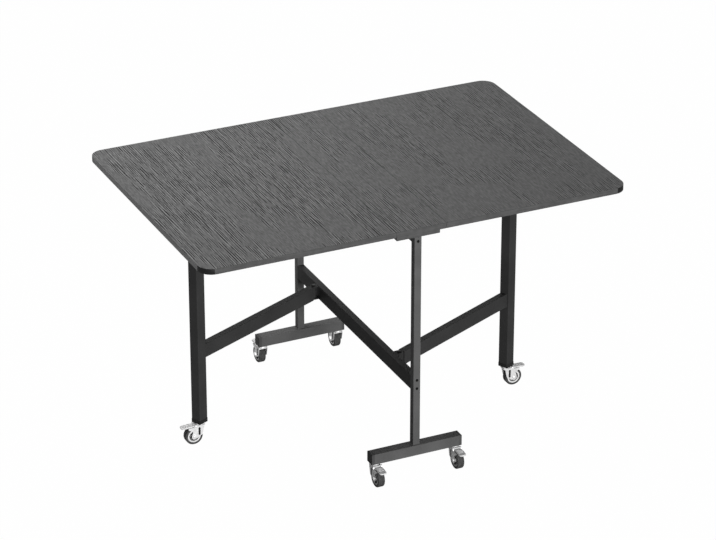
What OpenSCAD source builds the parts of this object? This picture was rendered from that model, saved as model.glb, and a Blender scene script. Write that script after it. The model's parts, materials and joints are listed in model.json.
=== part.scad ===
// Folding dining table on six braked casters. A narrow fixed panel stands on a
// slim steel frame, a leaf is hinged to each side of it, and two gates swing out
// from the lower beam to hold the leaves up.
// The origin is on the floor under the middle of the table. X runs along the
// open tabletop, Y runs across it and Z points up.

/* [Tabletop] */
// Length of the open tabletop
table_length = 1200; // [1100:10:1400]
// Width of the tabletop
table_width = 800; // [760:10:900]
// Height of the tabletop above the floor
table_height = 730; // [700:5:780]
// Thickness of each leaf
leaf_thickness = 16; // [14:1:18]
// Thickness of the fixed panel between the leaves
panel_thickness = 25; // [24:1:30]
// Width of the fixed panel
panel_width = 140; // [130:5:180]
// Gap between the fixed panel and a leaf
seam_gap = 0.7; // [0.6:0.1:2]
// Radius of the tabletop's four corners
corner_radius = 38; // [15:1:80]
// Width of the step under the fixed panel's right side
rebate_width = 18; // [17:1:24]

/* [Frame] */
// Side of the square upright posts
post_size = 20; // [18:1:26]
// Distance from the tabletop's long edge in to a post
post_inset = 20; // [10:1:40]
// Side of the square foot bars
foot_bar_size = 30; // [26:1:36]
// Length of a foot bar with its end caps
foot_bar_length = 262; // [240:2:300]
// Thickness of a foot bar's end cap
foot_cap_thickness = 8; // [4:1:10]
// Width of the lower beam
beam_width = 20; // [18:1:24]
// Height of the lower beam and of the gate arms
beam_height = 40; // [34:1:50]
// Height of the lower beam's underside above the floor
beam_bottom = 250; // [200:5:320]
// Width of the rail under the fixed panel
rail_width = 20; // [16:1:30]
// Height of the rail under the fixed panel
rail_height = 30; // [26:1:40]
// Wall of the steel tubes
tube_wall = 1.5; // [1.2:0.1:2]
// Outer edge radius of the steel tubes
tube_radius = 1.5; // [0.5:0.1:2]
// Thickness of the plates that close the beam and the rail
end_plate = 4; // [3:0.5:6]

/* [Frame bolts] */
// Diameter of a bolt's shank
bolt_diameter = 4; // [3:0.5:5]
// Diameter of a bolt's round head
bolt_head_diameter = 7.5; // [7:0.5:10]
// Height of a bolt's round head
bolt_head_height = 2.2; // [1.5:0.1:3]
// Distance between the two bolts of the lower beam
beam_bolt_spacing = 24; // [16:1:26]
// Distance between the two bolts of the rail
rail_bolt_spacing = 15; // [12:1:17]

/* [Gates] */
// Angle between an open gate's arm and the tabletop's length
gate_angle = 25; // [20:1:35]
// Distance from a gate's hinge pin to the middle of its post
gate_reach = 469; // [420:1:480]
// Distance along the beam from its middle to a gate's hinge pin
gate_hinge_station = 227.5; // [215:0.5:240]
// Distance from the beam's side to a gate's hinge pin
gate_hinge_offset = 11.5; // [11:0.5:14]
// Width of a gate arm
gate_arm_width = 20; // [16:1:20]
// Side of a gate's square post
gate_post_size = 30; // [28:1:34]
// Gap between a gate post's top and the fixed panel's underside
gate_headroom = 2; // [1:0.5:5]
// Thickness of the cap on a gate post
gate_cap_thickness = 3; // [2:0.5:5]
// Height of the foot plug under a gate post
gate_foot_height = 11; // [8:1:15]
// Diameter of a gate's hinge pin
gate_pin_diameter = 8; // [6:0.5:9]
// Diameter of the head on a gate's hinge pin
gate_pin_head_diameter = 12; // [11:0.5:14]
// Thickness of the head on a gate's hinge pin
gate_pin_head_height = 2.5; // [2:0.5:4]
// Diameter of the knuckle on a gate's arm
gate_knuckle_diameter = 14; // [13:0.5:16]
// Thickness of a gate's hinge lug
lug_thickness = 3; // [2.5:0.5:4]
// Half the width of a hinge lug, and the radius of its round end
lug_radius = 10; // [9:0.5:11]
// Distance from the beam's top or underside to a hinge lug
lug_inset = 0.5; // [0:0.1:1.5]
// Thickness of the plate that closes the hinged end of a gate arm
arm_end_plate = 3; // [2:0.5:5]
// Width of the tongue between a gate arm and its knuckle
gate_tongue_width = 12; // [8:1:13]
// Depth of the plug under a gate post's cap
gate_cap_plug = 10; // [6:1:20]

/* [Leaf rests] */
// Side of the block that a gate post comes under
rest_size = 44; // [40:1:60]
// Thickness of the lip that stops a gate post
rest_lip_thickness = 6; // [4:1:10]
// Depth of the stop lip below a gate post's top
rest_lip_depth = 8; // [5:1:12]

/* [Leaf hinges] */
// Length of a leaf hinge
leaf_hinge_length = 60; // [50:5:80]
// Distance between neighbouring leaf hinges
leaf_hinge_spacing = 300; // [250:10:320]
// Width of a hinge plate, from the pin
leaf_hinge_width = 16; // [14:1:16]
// Thickness of a hinge plate
leaf_hinge_plate = 1.5; // [1.2:0.1:2]
// Diameter of a hinge's knuckles
leaf_knuckle_diameter = 5; // [4.5:0.1:5.2]
// Diameter of a hinge's pin
leaf_pin_diameter = 2.6; // [2:0.1:3]
// Depth of a hinge's pin below the leaf's underside
leaf_pin_depth = 3; // [2.8:0.1:3.5]
// Gap between a moving knuckle and the fixed panel's side
leaf_side_gap = 0.4; // [0.3:0.1:1]

/* [Casters] */
// Diameter of a wheel
wheel_diameter = 50; // [46:1:56]
// Width of a wheel
wheel_width = 19; // [17:1:22]
// Height of a caster above its wheel
fork_headroom = 11.5; // [11.5:0.5:15]
// Distance from the swivel axis back to the axle
caster_trail = 20; // [18:1:24]
// Distance from a foot bar's end to a caster
foot_caster_inset = 15; // [13:1:25]
// Angle of a gate caster to the tabletop's length
gate_caster_angle = 0; // [-45:5:45]
// Diameter of the stem in its socket
stem_diameter = 10; // [8:1:12]
// Length of the stem in its socket
stem_length = 24; // [18:1:24]
// Wall of a foot cap's socket round the stem
socket_wall = 5; // [3:1:8]
// Thickness of a gate plug above its stem
socket_roof = 3; // [2:1:6]
// Diameter of the swivel bearing
swivel_diameter = 22; // [20:1:22]
// Thickness of the fixed half of the swivel bearing
flange_thickness = 2.5; // [2:0.1:2.7]
// Thickness of the turning half of the swivel bearing
race_thickness = 2.7; // [2:0.1:3]
// Diameter of the kingpin
kingpin_diameter = 8; // [6:1:10]
// Diameter of the kingpin's head
kingpin_head_diameter = 12; // [11:0.5:14]
// Thickness of the kingpin's head
kingpin_head_height = 2.5; // [2:0.5:3]
// Thickness of the fork's sheet steel top
crown_thickness = 3; // [2:0.5:3.5]
// Thickness of the fork's sheet steel sides
fork_plate = 2; // [1.5:0.5:3]
// Gap between a wheel and each side of its fork
wheel_side_gap = 1; // [0.5:0.1:2]
// Reach of the fork's top in front of the swivel axis
fork_front = 11; // [11:0.5:13]
// Reach of the fork's sides in front of the swivel axis
fork_side_front = 8; // [7:0.5:10]
// Reach of the fork's knee in front of the swivel axis
fork_knee_front = 3; // [2:0.5:5]
// Height of the fork's knee above the axle
fork_knee_rise = 6; // [5:0.5:8]
// Radius of the fork's front corner and knee
fork_corner = 4; // [3:0.5:5]
// Radius of the fork round the axle
axle_eye = 8; // [6:0.5:9]
// Width of the upright slot in each side of the fork
fork_slot_width = 6; // [4:0.5:6]
// Distance from the swivel axis back to the slot
fork_slot_back = 6; // [5:0.5:7]
// Distance from the axle's level up to the slot, and from the slot up to the crown
fork_slot_margin = 2; // [2:0.5:6]
// Distance from the swivel axis back to the ear of the fork under the pedal
fork_ear_back = 35; // [30:1:37]
// Radius of the fork's ear
fork_ear = 2.5; // [2:0.5:3]
// Diameter of the axle
axle_diameter = 6; // [5:0.5:7]
// Diameter of the axle's heads
axle_head_diameter = 10; // [9:0.5:12]
// Thickness of the axle's heads
axle_head_height = 2.5; // [2:0.5:4]

/* [Wheels] */
// Diameter of the rim under the tyre
rim_diameter = 37; // [35:1:40]
// Width of the rim
rim_width = 17; // [15:1:17]
// Thickness of the rim's lip
rim_lip = 6.5; // [4:0.5:7]
// Thickness of the disc between lip and hub
web_thickness = 7; // [4:1:9]
// Number of round openings in the disc
web_openings = 6; // [4:1:7]
// Diameter of the round openings in the disc
web_opening_diameter = 4.4; // [3:0.2:4.6]
// Diameter of the hub
hub_diameter = 12; // [11:0.5:13]
// Radius of the tyre's shoulders
tyre_shoulder = 3; // [1:0.5:4]
// Width of the grooves round the tyre
tyre_groove_width = 1.2; // [0.6:0.1:1.6]
// Depth of the grooves round the tyre
tyre_groove_depth = 0.9; // [0.3:0.1:1.5]
// Distance between the three grooves round the tyre
tyre_groove_pitch = 4; // [3:0.1:4.4]

/* [Brakes] */
// Distance from the swivel axis back to the pedal's pin
pedal_pin_back = 15; // [14.8:0.1:16]
// Height of the pedal's pin above the wheel
pedal_pin_rise = 4.5; // [4.4:0.1:5]
// Diameter of the pedal's pin
pedal_pin_diameter = 4; // [3:0.5:4.5]
// Diameter of the pedal's barrel
pedal_barrel_diameter = 7; // [6.5:0.1:7]
// Radius of the fork round the pedal's pin
pedal_eye = 4.5; // [4:0.1:4.6]
// Length of the pedal from its pin
pedal_length = 41; // [36:1:48]
// Gap between the pedal's blade and each side of its fork
pedal_side_gap = 0.5; // [0.4:0.1:2]
// Thickness of the pedal
pedal_thickness = 3; // [2:0.5:3]
// Slope of the pressed pedal
pedal_tilt = 2; // [0:1:8]
// Radius of the pedal's outer corners
pedal_corner = 5; // [2:1:8]
// Number of ridges across the pedal
pedal_ridges = 3; // [0:1:4]
// Distance between the ridges, and from the pedal's end to the first
ridge_pitch = 5; // [4:0.5:6]
// Width of a ridge
ridge_width = 2; // [1:0.5:3]
// Height of a ridge
ridge_height = 0.8; // [0.5:0.1:1]
// Angle round the axle from a wheel's top back to the brake block
brake_angle = 17.5; // [15:0.5:22]
// Length of the brake block along the tyre
brake_length = 6; // [4:1:8]
// Width of the brake block
brake_width = 12; // [8:1:13]

/* [Fits] */
// Gap between pieces that move past each other
moving_gap = 0.3; // [0.3:0.05:0.5]
// Running gap round a pin or an axle
running_gap = 0.05; // [0.03:0.01:0.1]
// Gap round a plug in its tube
plug_gap = 0.1; // [0.05:0.05:0.2]

/* [Hidden] */
$fn = 48;

// How far a cutter reaches past the faces that it opens
past = 1;

// Colours of the finishes
board_colour = "#6b6b69";
frame_colour = "#4a4a4b";
gate_colour = "#2e2e2f";
plastic_colour = "#2a2a2b";
zinc_colour = "#c8c9ca";
pedal_colour = "#a9aaab";
rim_colour = "#b9babb";
tyre_colour = "#474748";
bolt_colour = "#1c1c1d";

// Tabletop levels
leaf_bottom = table_height - leaf_thickness;
panel_bottom = table_height - panel_thickness;
leaf_inner = panel_width / 2 + seam_gap;

// Caster levels, upwards from the wheel
wheel_radius = wheel_diameter / 2;
caster_height = wheel_diameter + fork_headroom;
flange_bottom = caster_height - flange_thickness;
race_top = flange_bottom - moving_gap;
crown_top = race_top - race_thickness;
crown_bottom = crown_top - crown_thickness;
kingpin_head_top = crown_bottom - moving_gap;
kingpin_head_bottom = kingpin_head_top - kingpin_head_height;

// Frame places
post_middle = table_width / 2 - post_inset - post_size / 2;
foot_bar_top = caster_height + foot_bar_size;
foot_tube_length = foot_bar_length - 2 * foot_cap_thickness;
foot_caster_x = foot_bar_length / 2 - foot_caster_inset;
beam_length = 2 * post_middle - post_size;
beam_middle = beam_bottom + beam_height / 2;
rail_middle = panel_bottom - rail_height / 2;
bolt_reach = post_size + end_plate + bolt_diameter;

// Gate places, for the right gate; the left gate is turned half a turn about Z
gate_pin_x = beam_width / 2 + gate_hinge_offset;
gate_post_x = gate_pin_x + gate_reach * cos(gate_angle);
gate_post_y = -gate_hinge_station + gate_reach * sin(gate_angle);
gate_post_top = panel_bottom - gate_headroom;
gate_tube_bottom = caster_height + gate_foot_height;
gate_tube_top = gate_post_top - gate_cap_thickness;
arm_start = lug_radius + 2 * moving_gap;
arm_end = gate_reach - gate_post_size / 2;
lug_low = beam_bottom + lug_inset;
lug_high = beam_bottom + beam_height - lug_inset;
knuckle_low = lug_low + lug_thickness + moving_gap;
knuckle_high = lug_high - lug_thickness - moving_gap;

// Leaf hinge axes: in the open seam on the right, and beside the full depth of
// the panel on the left
leaf_pin_z = leaf_bottom - leaf_pin_depth;
leaf_knuckle = leaf_knuckle_diameter / 2;
leaf_pin_right = panel_width / 2 + seam_gap / 2;
leaf_pin_left = panel_width / 2 + leaf_knuckle + leaf_side_gap;
hinge_third = leaf_hinge_length / 3;
hinge_stations = [-leaf_hinge_spacing, 0, leaf_hinge_spacing];

// Caster places: x, y and heading; at heading 0 the wheel trails towards -Y
front_left = [-foot_caster_x, -post_middle, 0];
front_right = [foot_caster_x, -post_middle, 0];
back_left = [-foot_caster_x, post_middle, 180];
back_right = [foot_caster_x, post_middle, 180];
gate_left = [-gate_post_x, -gate_post_y, gate_caster_angle - 90];
gate_right = [gate_post_x, gate_post_y, gate_caster_angle + 90];

// Fork outline, as points of Y and Z
fork_inner = wheel_width / 2 + wheel_side_gap;
fork_outer = fork_inner + fork_plate;
pedal_width = 2 * (fork_inner - pedal_side_gap);
axle_point = [-caster_trail, wheel_radius];
pedal_point = [-pedal_pin_back, wheel_diameter + pedal_pin_rise];
fork_corner_point = [fork_side_front - fork_corner, crown_top - fork_corner];
knee_point = [fork_knee_front - fork_corner, axle_point[1] + fork_knee_rise];
ear_point = [-fork_ear_back, wheel_diameter];
ear_root = axle_point + (pedal_point - axle_point) / 3;
crown_back = pedal_pin_back - pedal_barrel_diameter / 2 - moving_gap;

// Brake block, from its back edge on the tyre up to the middle of the pedal
brake_back = axle_point[0] - wheel_radius * sin(brake_angle) - brake_length / 2;
brake_top = pedal_point[1] + (brake_back - pedal_point[0]) * tan(pedal_tilt);

// Direction of the normal of the straight line that touches two circles
function tangent_normal(c1, r1, c2, r2, side) =
    atan2(c2[1] - c1[1], c2[0] - c1[0]) + side * acos((r1 - r2) / norm(c2 - c1));

function on_circle(c, r, a) = c + r * [cos(a), sin(a)];

// Turns what is built along Z to lie along X, and along Y
module along_x() rotate([0, 90, 0]) children();
module along_y() rotate([-90, 0, 0]) children();

module rounded_rect(width, depth, radius) {
    square([width - 2 * radius, depth], center = true);
    square([width, depth - 2 * radius], center = true);
    for (x = [-1, 1], y = [-1, 1])
        translate([x * (width / 2 - radius), y * (depth / 2 - radius)])
            circle(r = radius);
}

// Solid bar and hollow tube with rounded edges, standing on Z = 0
module bar(width, depth, length)
    linear_extrude(height = length) rounded_rect(width, depth, tube_radius);

module tube(width, depth, length)
    difference() {
        bar(width, depth, length);
        translate([0, 0, -past])
            plug(width, depth, length + 2 * past, 0);
    }

// What fills a tube, less a gap all round
module plug(width, depth, length, gap) {
    trim = 2 * (tube_wall + gap);
    translate([-(width - trim) / 2, -(depth - trim) / 2, 0])
        cube([width - trim, depth - trim, length]);
}

// Puts a part of the right-hand side on the left by half a turn
module on_side(side) rotate([0, 0, side > 0 ? 0 : 180]) children();

// Puts a part built along the right gate's arm in its place
module at_gate(side)
    on_side(side)
        translate([gate_pin_x, -gate_hinge_station, 0])
            rotate([0, 0, gate_angle])
                children();

module at_caster(place)
    translate([place[0], place[1], 0]) rotate([0, 0, place[2]]) children();

// Tabletop

module centre_panel()
    color(board_colour)
        difference() {
            translate([-panel_width / 2, -table_width / 2, panel_bottom])
                cube([panel_width, table_width, panel_thickness]);
            translate([panel_width / 2 - rebate_width, -table_width / 2 - past, panel_bottom - past])
                cube([rebate_width + past, table_width + 2 * past, leaf_bottom - panel_bottom + past]);
        }

module leaf(side) {
    straight = table_width - 2 * corner_radius;
    color(board_colour)
        on_side(side)
            translate([0, 0, leaf_bottom])
                linear_extrude(height = leaf_thickness) {
                    translate([leaf_inner, -table_width / 2])
                        square([table_length / 2 - corner_radius - leaf_inner, table_width]);
                    translate([leaf_inner, -straight / 2])
                        square([table_length / 2 - leaf_inner, straight]);
                    for (y = [-1, 1])
                        translate([table_length / 2 - corner_radius, y * straight / 2])
                            circle(r = corner_radius);
                }
}

// Block under a leaf, with a lip that the gate post comes up against
module leaf_rest(side) {
    block_bottom = gate_post_top + moving_gap;
    lip_face = gate_post_size / 2 + moving_gap;
    color(plastic_colour)
        at_gate(side)
            translate([gate_reach - rest_size / 2, 0, 0]) {
                translate([0, -lip_face - rest_lip_thickness, block_bottom])
                    cube([rest_size, rest_size, leaf_bottom - block_bottom]);
                translate([0, -lip_face - rest_lip_thickness, gate_post_top - rest_lip_depth])
                    cube([rest_size, rest_lip_thickness, leaf_bottom - gate_post_top + rest_lip_depth]);
            }
}

// Leaf hinges

// One knuckle, from the middle of its hinge
module leaf_knuckle_at(start, length)
    translate([0, start, 0]) along_y() cylinder(h = length, r = leaf_knuckle);

module leaf_bore(gap)
    translate([0, -leaf_hinge_length / 2 - past, 0])
        along_y()
            cylinder(h = leaf_hinge_length + 2 * past, d = leaf_pin_diameter + 2 * gap);

// Flat plate under a board, outwards from the pin, whose knuckles fill the
// listed thirds of the hinge
module flat_hinge_plate(thirds) {
    top = leaf_pin_depth - leaf_hinge_plate;
    clear = leaf_knuckle + moving_gap;
    difference() {
        union() {
            translate([clear, -leaf_hinge_length / 2, top])
                cube([leaf_hinge_width - clear, leaf_hinge_length, leaf_hinge_plate]);
            for (third = thirds) {
                start = (third - 0.5) * hinge_third + (third > -1 ? moving_gap / 2 : 0);
                stop = (third + 0.5) * hinge_third - (third < 1 ? moving_gap / 2 : 0);
                translate([0, start, top])
                    cube([clear + past, stop - start, leaf_hinge_plate]);
                leaf_knuckle_at(start, stop - start);
            }
        }
        leaf_bore(running_gap);
    }
}

// Upright plate on the panel's side, with a knuckle at each end of the hinge
module side_hinge_plate() {
    face = leaf_pin_left - panel_width / 2;
    bottom = panel_bottom - leaf_pin_z;
    end_knuckle = hinge_third - moving_gap / 2;
    middle_room = hinge_third + moving_gap;
    difference() {
        union() {
            difference() {
                translate([face - leaf_hinge_plate, -leaf_hinge_length / 2, bottom])
                    cube([leaf_hinge_plate, leaf_hinge_length, leaf_knuckle - bottom]);
                translate([0, -middle_room / 2, 0])
                    along_y()
                        cylinder(h = middle_room, r = leaf_knuckle + moving_gap);
            }
            leaf_knuckle_at(-leaf_hinge_length / 2, end_knuckle);
            leaf_knuckle_at(leaf_hinge_length / 2 - end_knuckle, end_knuckle);
        }
        leaf_bore(running_gap);
    }
}

module hinge_frame_plates()
    color(zinc_colour)
        for (y = hinge_stations) {
            translate([leaf_pin_right, y, leaf_pin_z]) mirror([1, 0, 0]) flat_hinge_plate([-1, 1]);
            translate([-leaf_pin_left, y, leaf_pin_z]) side_hinge_plate();
        }

module hinge_pins()
    color(zinc_colour)
        for (y = hinge_stations, x = [-leaf_pin_left, leaf_pin_right])
            translate([x, y - leaf_hinge_length / 2, leaf_pin_z])
                along_y()
                    cylinder(h = leaf_hinge_length, d = leaf_pin_diameter);

module hinge_flaps(side)
    color(zinc_colour)
        for (y = hinge_stations)
            on_side(side)
                translate([side > 0 ? leaf_pin_right : leaf_pin_left, y, leaf_pin_z])
                    flat_hinge_plate([0]);

// Frame

module bolt_holes(heights)
    for (z = heights)
        translate([0, 0, z])
            along_y()
                cylinder(h = 2 * table_width, d = bolt_diameter + 2 * running_gap, center = true);

beam_bolts = [beam_middle - beam_bolt_spacing / 2, beam_middle + beam_bolt_spacing / 2];
rail_bolts = [rail_middle - rail_bolt_spacing / 2, rail_middle + rail_bolt_spacing / 2];

module post(side)
    color(frame_colour)
        difference() {
            translate([0, side * post_middle, foot_bar_top])
                tube(post_size, post_size, panel_bottom - foot_bar_top);
            bolt_holes(concat(beam_bolts, rail_bolts));
        }

// Tube between the posts, closed at both ends by a plate that takes the bolts
module cross_tube(width, height, middle, bolts)
    difference() {
        translate([0, -beam_length / 2, middle])
            along_y() {
                tube(width, height, beam_length);
                bar(width, height, end_plate);
                translate([0, 0, beam_length - end_plate]) bar(width, height, end_plate);
            }
        bolt_holes(bolts);
    }

module lower_beam()
    color(gate_colour) cross_tube(beam_width, beam_height, beam_middle, beam_bolts);

module top_rail()
    color(frame_colour) cross_tube(rail_width, rail_height, rail_middle, rail_bolts);

module frame_bolts()
    color(bolt_colour)
        for (side = [-1, 1], z = concat(beam_bolts, rail_bolts))
            rotate([0, 0, side > 0 ? 180 : 0])
                translate([0, -post_middle - post_size / 2, z])
                    along_y() {
                        cylinder(h = bolt_reach, d = bolt_diameter);
                        translate([0, 0, -bolt_head_height])
                            cylinder(h = bolt_head_height, d = bolt_head_diameter);
                    }

// Tube with a hole under each end for a caster's stem
module foot_bar(side)
    color(frame_colour)
        difference() {
            translate([-foot_tube_length / 2, side * post_middle, foot_bar_top - foot_bar_size / 2])
                along_x()
                    tube(foot_bar_size, foot_bar_size, foot_tube_length);
            for (x = [-1, 1])
                translate([x * foot_caster_x, side * post_middle, caster_height - past])
                    cylinder(h = foot_bar_size / 2, d = stem_diameter + 2 * plug_gap);
        }

// End cap whose plug is the socket of a caster's stem
module foot_end_cap() {
    plug_start = foot_caster_x - stem_diameter / 2 - socket_wall;
    plug_end = foot_tube_length / 2 + foot_cap_thickness / 2;
    difference() {
        union() {
            translate([foot_tube_length / 2, 0, foot_bar_size / 2])
                along_x()
                    bar(foot_bar_size, foot_bar_size, foot_cap_thickness);
            translate([plug_start, 0, foot_bar_size / 2])
                along_x()
                    plug(foot_bar_size, foot_bar_size, plug_end - plug_start, plug_gap);
        }
        translate([foot_caster_x, 0, -past]) socket();
    }
}

// Hole for a caster's stem, open at the bottom
module socket()
    cylinder(h = stem_length + past + plug_gap, d = stem_diameter + 2 * running_gap);

module foot_end_caps()
    color(plastic_colour)
        for (turn = [0, 180], side = [-1, 1])
            translate([0, side * post_middle, caster_height])
                rotate([0, 0, turn])
                    foot_end_cap();

// Gate hinges

// Four lugs on the sides of the beam, two for each gate
module gate_lugs()
    color(gate_colour)
        for (side = [-1, 1], z = [lug_low, lug_high - lug_thickness])
            on_side(side)
                translate([gate_pin_x, -gate_hinge_station, z])
                    difference() {
                        union() {
                            cylinder(h = lug_thickness, r = lug_radius);
                            translate([-gate_hinge_offset, -lug_radius, 0])
                                cube([gate_hinge_offset, 2 * lug_radius, lug_thickness]);
                        }
                        translate([0, 0, -past])
                            cylinder(h = lug_thickness + 2 * past,
                                d = gate_pin_diameter + 2 * running_gap);
                    }

module gate_pins()
    color(bolt_colour)
        for (side = [-1, 1])
            on_side(side)
                translate([gate_pin_x, -gate_hinge_station, 0]) {
                    translate([0, 0, lug_low - gate_pin_head_height])
                        cylinder(h = lug_high - lug_low + 2 * gate_pin_head_height,
                            d = gate_pin_diameter);
                    for (z = [lug_low - gate_pin_head_height, lug_high])
                        translate([0, 0, z])
                            cylinder(h = gate_pin_head_height, d = gate_pin_head_diameter);
                }

// Gates

// Arm tube, the plate that closes its hinged end, and the knuckle welded to it
module gate_arm(side) {
    knuckle_height = knuckle_high - knuckle_low;
    color(gate_colour)
        at_gate(side)
            difference() {
                union() {
                    translate([arm_start, 0, beam_middle])
                        along_x() {
                            tube(beam_height, gate_arm_width, arm_end - arm_start);
                            bar(beam_height, gate_arm_width, arm_end_plate);
                        }
                    translate([0, -gate_tongue_width / 2, knuckle_low])
                        cube([arm_start + arm_end_plate / 2, gate_tongue_width, knuckle_height]);
                    translate([0, 0, knuckle_low])
                        cylinder(h = knuckle_height, d = gate_knuckle_diameter);
                }
                translate([0, 0, knuckle_low - past])
                    cylinder(h = knuckle_height + 2 * past, d = gate_pin_diameter + 2 * running_gap);
            }
}

module gate_post(side)
    color(gate_colour)
        at_gate(side)
            translate([gate_reach, 0, gate_tube_bottom])
                tube(gate_post_size, gate_post_size, gate_tube_top - gate_tube_bottom);

// Foot plug with the socket of the caster's stem, and the cap on top
module gate_caps(side)
    color(plastic_colour)
        at_gate(side)
            translate([gate_reach, 0, 0]) {
                translate([0, 0, caster_height])
                    difference() {
                        union() {
                            bar(gate_post_size, gate_post_size, gate_foot_height);
                            plug(gate_post_size, gate_post_size, stem_length + socket_roof, plug_gap);
                        }
                        translate([0, 0, -past]) socket();
                    }
                translate([0, 0, gate_tube_top]) {
                    bar(gate_post_size, gate_post_size, gate_cap_thickness);
                    translate([0, 0, -gate_cap_plug])
                        plug(gate_post_size, gate_post_size,
                            gate_cap_plug + gate_cap_thickness / 2, plug_gap);
                }
            }

// Casters

// Stem, fixed half of the swivel bearing, and the kingpin that carries the fork
module caster_stem() {
    translate([0, 0, kingpin_head_bottom])
        cylinder(h = caster_height + stem_length - kingpin_head_bottom, d = kingpin_diameter);
    translate([0, 0, caster_height])
        cylinder(h = stem_length, d = stem_diameter);
    translate([0, 0, flange_bottom])
        cylinder(h = flange_thickness, d = swivel_diameter);
    translate([0, 0, kingpin_head_bottom])
        cylinder(h = kingpin_head_height, d = kingpin_head_diameter);
}

module foot_caster_stems()
    color(zinc_colour)
        for (place = [front_left, front_right, back_left, back_right])
            at_caster(place)
                caster_stem();

module gate_stem(place)
    color(zinc_colour) at_caster(place) caster_stem();

// Side of the fork, as Y and Z: eyes for the axle and for the pedal's pin, an ear
// that reaches back under the pedal, and the straight edges that touch them
module fork_side_outline() {
    rear = tangent_normal(pedal_point, pedal_eye, axle_point, axle_eye, -1);
    front = tangent_normal(fork_corner_point, fork_corner, knee_point, fork_corner, 1);
    below = tangent_normal(knee_point, fork_corner, axle_point, axle_eye, 1);
    under = tangent_normal(ear_point, fork_ear, ear_root, 0, -1);
    polygon([
        on_circle(fork_corner_point, fork_corner, 90),
        [pedal_point[0], crown_top],
        pedal_point,
        on_circle(pedal_point, pedal_eye, rear),
        on_circle(axle_point, axle_eye, rear),
        axle_point,
        on_circle(axle_point, axle_eye, below),
        on_circle(knee_point, fork_corner, below),
        knee_point,
        on_circle(knee_point, fork_corner, front),
        on_circle(fork_corner_point, fork_corner, front),
        fork_corner_point
    ]);
    polygon([
        on_circle(ear_point, fork_ear, 90),
        [pedal_point[0], ear_point[1] + fork_ear],
        ear_root,
        on_circle(ear_point, fork_ear, under),
        ear_point
    ]);
    translate(ear_point) circle(r = fork_ear);
    translate(pedal_point) circle(r = pedal_eye);
    translate(axle_point) circle(r = axle_eye);
    for (point = [fork_corner_point, knee_point])
        translate(point) circle(r = fork_corner);
}

module fork(place)
    color(zinc_colour)
        at_caster(place)
            difference() {
                union() {
                    for (x = [-fork_outer, fork_inner])
                        translate([x, 0, 0])
                            rotate([90, 0, 90])
                                linear_extrude(height = fork_plate)
                                    fork_side_outline();
                    translate([-fork_inner - fork_plate / 2, -crown_back, crown_bottom])
                        cube([2 * fork_inner + fork_plate,
                            crown_back + fork_front, crown_thickness]);
                    translate([0, 0, crown_top - crown_thickness / 2])
                        cylinder(h = race_thickness + crown_thickness / 2, d = swivel_diameter);
                }
                translate([0, 0, crown_bottom - past])
                    cylinder(h = crown_thickness + race_thickness + 2 * past,
                        d = kingpin_diameter + 2 * running_gap);
                cross_hole(axle_point, axle_diameter, running_gap);
                cross_hole(pedal_point, pedal_pin_diameter, running_gap);
                fork_slot();
            }

// Slot through both sides of the fork, between the swivel axis and the axle
module fork_slot() {
    low = axle_point[1] + fork_slot_margin + fork_slot_width / 2;
    high = crown_bottom - fork_slot_margin - fork_slot_width / 2;
    translate([-2 * fork_outer, -fork_slot_back - fork_slot_width / 2, low])
        cube([4 * fork_outer, fork_slot_width, high - low]);
    for (z = [low, high])
        cross_hole([-fork_slot_back, z], fork_slot_width, 0);
}

// Hole right through a caster at a point of Y and Z
module cross_hole(point, diameter, gap)
    translate([0, point[0], point[1]])
        along_x()
            cylinder(h = 4 * fork_outer, d = diameter + 2 * gap, center = true);

// Axle with a head on each side, and the pin of the pedal
module pins(place)
    color(zinc_colour)
        at_caster(place) {
            translate([0, axle_point[0], axle_point[1]])
                along_x() {
                    cylinder(h = 2 * fork_outer + axle_head_height, d = axle_diameter, center = true);
                    for (side = [-1, 1])
                        translate([0, 0, side * (fork_outer + axle_head_height / 2)])
                            cylinder(h = axle_head_height, d = axle_head_diameter, center = true);
                }
            translate([0, pedal_point[0], pedal_point[1]])
                along_x()
                    cylinder(h = 2 * fork_outer, d = pedal_pin_diameter, center = true);
        }

// Rim with a lip under the tyre, and a disc with a ring of round openings
module rim(place) {
    lip_inner = rim_diameter / 2 - rim_lip;
    openings_radius = (lip_inner + hub_diameter / 2) / 2;
    color(rim_colour)
        at_caster(place)
            translate([0, axle_point[0], axle_point[1]])
                along_x()
                    difference() {
                        union() {
                            difference() {
                                cylinder(h = rim_width, d = rim_diameter, center = true);
                                cylinder(h = rim_width + 2 * past, r = lip_inner, center = true);
                            }
                            cylinder(h = web_thickness, r = lip_inner + rim_lip / 2, center = true);
                            cylinder(h = 2 * (fork_inner - moving_gap), d = hub_diameter, center = true);
                        }
                        cylinder(h = 4 * fork_outer, d = axle_diameter + 2 * running_gap, center = true);
                        for (turn = [0:web_openings - 1])
                            rotate([0, 0, turn * 360 / web_openings])
                                translate([openings_radius, 0, 0])
                                    cylinder(h = rim_width, d = web_opening_diameter, center = true);
                    }
}

// Tyre with rounded shoulders and three grooves round its tread
module tyre(place)
    color(tyre_colour)
        at_caster(place)
            translate([0, axle_point[0], axle_point[1]])
                along_x()
                    rotate_extrude()
                        difference() {
                            rounded_rect(wheel_diameter, wheel_width, tyre_shoulder);
                            translate([-wheel_diameter, -wheel_width])
                                square([wheel_diameter + rim_diameter / 2, 2 * wheel_width]);
                            for (n = [-1:1])
                                translate([wheel_radius - tyre_groove_depth,
                                        n * tyre_groove_pitch - tyre_groove_width / 2])
                                    square([tyre_groove_depth + past, tyre_groove_width]);
                        }

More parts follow.
